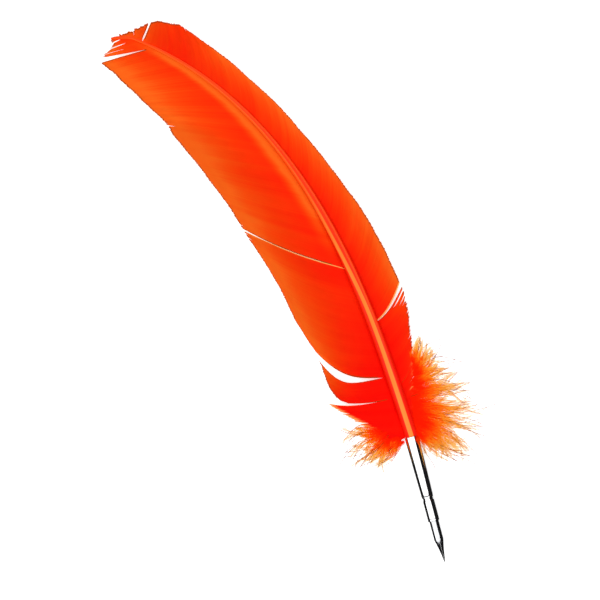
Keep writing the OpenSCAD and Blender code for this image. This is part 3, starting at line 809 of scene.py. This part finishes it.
def barbules(paths, shares, tones, each):
    """Fine hairs along the strands: a thin three-sided spike each, four points."""
    which = np.repeat(np.arange(len(paths)), each)
    u = RNG.random(len(which)) ** 1.2 * (RINGS - 1.6) + 0.4
    i = u.astype(int)
    f = (u - i)[:, None]
    at = paths[which, i] * (1 - f) + paths[which, i + 1] * f
    along = paths[which, i + 1] - paths[which, i]
    along /= np.linalg.norm(along, axis=-1, keepdims=True)
    out = np.cross(along, RNG.normal(0, 1, at.shape) * (0.4, 0.4, 1.2))
    out /= np.linalg.norm(out, axis=-1, keepdims=True) + 1e-9
    length = RNG.uniform(1.5, 3.6, (len(which), 1)) * (1 - 0.6 * u[:, None] / RINGS)
    tip = at + (along * 0.85 + out * 0.5) * length
    tip[:, 2] = np.maximum(tip[:, 2], LOWEST_HAIR)
    beside = np.cross(along, out)
    r = HAIR_RADIUS
    hairs = np.stack([at + out * r, at - out * r * 0.5 + beside * r,
                      at - out * r * 0.5 - beside * r, tip], 1)
    return hairs, shares[which, i] + HAIR_PALING, tones[which]


# Roots and rims of the tufts, as s and w
NARROW_RIM = [[-9, 8], [-14, 14], [-18, 24], [-10, 31], [-2, 35], [6, 32], [14, 33], [21, 31.5],
              [27, 28.5], [33, 24.5], [39, 21.5], [45, 18.5]]
NARROW_ROOTS = [(0, 3), (6, 3), (14, 4), (21, 6), (28, 9), (34, 11)]
WIDE_RIM = [[-2, -11], [-6, -15], [-9.5, -19], [-8, -24], [-3, -28.5], [3, -32], [8, -32], [12, -29]]
WIDE_ROOTS = [(0, -3), (1, -8), (4, -10), (8, -13)]
tuft("narrow_down_fluff", "narrow_down", NARROW_ROOTS, NARROW_RIM, 84, 8, 50, 9, 44)
tuft("narrow_down_under", "narrow_down", NARROW_ROOTS, NARROW_RIM, 80, 7, 52, 4, 0)
tuft("wide_down_fluff", "wide_down", WIDE_ROOTS, WIDE_RIM, 40, 8, 52, 3, 30)


# ---------------------------------------------------------------- metal
def held(p, q):
    """The start of a profile's segment, and on a long one two more points that keep it flat."""
    length = np.linalg.norm(q - p)
    if length < 0.6:
        return p[None]
    return np.array([p, p + (q - p) * 0.08 / length, q - (q - p) * 0.08 / length])


TURNED_SIDES = 128


def lathe(name, node, profile):
    """Turns a closed profile of (radius, distance from the point) about the pen's axis."""
    profile = np.array(profile, float)
    profile = np.concatenate([held(p, q) for p, q in zip(profile, np.roll(profile, -1, axis=0))])
    angle = np.linspace(0, 2 * math.pi, TURNED_SIDES, endpoint=False)
    r, a = profile[:, 0][:, None], profile[:, 1][:, None]
    points = np.stack([PEN_X + r * np.cos(angle), POINT_Y + a + 0 * angle,
                       PEN_Z + r * np.sin(angle)], -1)
    faces = []
    for i in range(len(profile)):
        this = i * TURNED_SIDES
        other = (i + 1) % len(profile) * TURNED_SIDES
        for k in range(TURNED_SIDES):
            m = (k + 1) % TURNED_SIDES
            faces.append((this + k, other + k, other + m, this + m))
    obj = new_object(name, points, faces, sharp=35)
    obj.data.materials.append(CHROME)
    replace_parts(obj, node)
    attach(obj, "feather")


def arc(r, a, radius, start, end, steps=6):
    """Points of a small round, centred at (r, a), for a profile."""
    return [(r + radius * math.cos(math.radians(start + (end - start) * i / steps)),
             a + radius * math.sin(math.radians(start + (end - start) * i / steps)))
            for i in range(steps + 1)]


F0, F1 = FERRULE_START, FERRULE_END
FERRULE_BORE = 2.47
lathe("ferrule_tube", "ferrule", [
    (FERRULE_BORE, F0), *arc(2.76, F0 + 0.06, 0.06, -90, 0),
    # a small bead, then the slow taper
    *arc(2.75, F0 + 0.5, 0.08, -60, 60),
    (2.84, F0 + 0.9), (2.87, F0 + 2.0), (3.0, F0 + 8), (3.21, F0 + 18), (3.44, F1 - 2),
    # the rounded mouth and the bore
    *arc(3.36, F1 - 0.13, 0.13, 0, 180), (3.14, F1 - 0.6), (3.12, F1 - 2), (FERRULE_BORE, F0 + 3)])

COLLAR_LENGTH = 10.4
COLLAR_RADIUS = 2.75
COLLAR_BORE = 2.3
SPIGOT_RADIUS = 2.45
CLUTCH_BORE = 1.5
C0, C1 = COLLAR_START, COLLAR_START + COLLAR_LENGTH
SPIGOT_END = C1 + 8.5
lathe("nib_holder_collar", "nib_holder", [
    (COLLAR_BORE, C0 + 0.12), *arc(2.42, C0 + 0.12, 0.12, 180, 270),
    *arc(2.61, C0 + 0.14, 0.14, -90, 0),
    # a shallow groove round the collar
    (COLLAR_RADIUS, C0 + 0.9), (2.72, C0 + 1.0), (2.72, C0 + 1.15), (COLLAR_RADIUS, C0 + 1.25),
    (COLLAR_RADIUS, C1 - 0.3), *arc(2.58, C1 - 0.17, 0.17, 0, 90),
    # the neck and the spigot inside the ferrule
    (SPIGOT_RADIUS, C1 + 0.05), (2.43, C1 + 0.6), (SPIGOT_RADIUS, C1 + 1.4),
    (SPIGOT_RADIUS, SPIGOT_END), (CLUTCH_BORE, SPIGOT_END), (CLUTCH_BORE, C1 + 0.6),
    (COLLAR_BORE, C1 + 0.6)])


# ---------------------------------------------------------------- nib
VENT = 0.55             # radius of the vent hole at the tines' roots
SHEET = 0.25
SLIT_HALF = 0.03
SHOULDER = 11.1         # where the tines' edges reach the nib's full width
HEEL_START = 12.2       # from here up, the sheet wraps down by WRAP on each side
WRAP = math.radians(101.5)
NIB_COLUMNS = 18
NIB_DROOP = 0.9         # the point bends down by this much over the last DROOP_LENGTH
DROOP_LENGTH = 11


def nib_half(name, tine, side):
    """Half of the nib's curved sheet, from the slit round to its edge, heel to writing point."""
    beside_vent = TINE_ROOT + VENT * np.sin(np.linspace(-math.pi / 2, math.pi / 2, 17))
    a = np.unique(np.concatenate([np.linspace(0, TINE_ROOT - VENT, 40), beside_vent,
                                  np.linspace(TINE_ROOT + VENT, NIB_END, 30)]))
    edge_x = np.interp(a, [0, 1.2, 3.8, 7.4, 9.8, 10.7, SHOULDER],
                       [0.28, 0.42, 0.78, 1.38, 1.93, 2.15, NIB_RADIUS])
    edge_angle = np.where(a < SHOULDER, np.arcsin(np.minimum(edge_x / NIB_RADIUS, 1)),
                          np.interp(a, [SHOULDER, HEEL_START], [math.pi / 2, WRAP]))
    inner_x = np.where(np.abs(a - TINE_ROOT) < VENT,
                       np.sqrt(np.maximum(VENT ** 2 - (a - TINE_ROOT) ** 2, 0)), 0)
    inner_x = np.maximum(inner_x, np.where(a < TINE_ROOT, SLIT_HALF, 0))
    inner_angle = np.arcsin(inner_x / NIB_RADIUS)
    columns = NIB_COLUMNS
    u = np.linspace(0, 1, columns)
    theta = inner_angle[:, None] + (edge_angle - inner_angle)[:, None] * u
    droop = NIB_DROOP * np.clip((DROOP_LENGTH - a) / DROOP_LENGTH, 0, 1) ** 1.5
    layers = []
    for radius in (NIB_RADIUS, NIB_RADIUS - SHEET):
        x = PEN_X + side * radius * np.sin(theta)
        z = PEN_Z + radius * np.cos(theta) - droop[:, None]
        layers.append(np.stack([x, np.broadcast_to((POINT_Y + a)[:, None], x.shape), z], -1))
    points = np.stack(layers)
    n, k = len(a), len(a) * columns
    faces = []
    for i in range(n - 1):
        for j in range(columns - 1):
            p = i * columns + j
            faces.append((p, p + 1, p + columns + 1, p + columns))
            faces.append((p + k, p + columns + k, p + columns + 1 + k, p + 1 + k))
    rim = (list(range(columns)) + [i * columns + columns - 1 for i in range(1, n)]
           + [(n - 1) * columns + j for j in range(columns - 2, -1, -1)]
           + [i * columns for i in range(n - 2, 0, -1)])
    for r, p in enumerate(rim):
        q = rim[(r + 1) % len(rim)]
        faces.append((q, p, p + k, q + k))
    if side < 0:
        faces = [f[::-1] for f in faces]
    obj = new_object(name, points, faces, sharp=40)
    obj.data.materials.append(NIB_STEEL)
    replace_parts(obj, tine)
    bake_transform(obj)
    return obj


nib_half("nib_sheet_left", "tine_left", -1)
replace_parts(nib_half("nib_sheet_right", "tine_right", 1), "nib")


# ---------------------------------------------------------------- CAD pieces that stay
def repaint(node, material):
    """Gives a CAD node, left in place, its own material."""
    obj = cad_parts[node]
    obj.data.materials.clear()
    obj.data.materials.append(material)


repaint("shaft_pith", plain_material("pith", (0.9, 0.55, 0.25), (1.0, 0.75, 0.45), 0.85, 900))
repaint("pulp_caps", plain_material("pulp", (0.8, 0.6, 0.35), (0.9, 0.75, 0.5), 0.6, 700))
repaint("ferrule_adhesive", plain_material("glue", (0.65, 0.5, 0.22), (0.8, 0.66, 0.36), 0.25, 500))
repaint("nib_clutch",
        plain_material("spring", (0.42, 0.42, 0.44), (0.6, 0.6, 0.62), 0.3, 800, metallic=1.0))
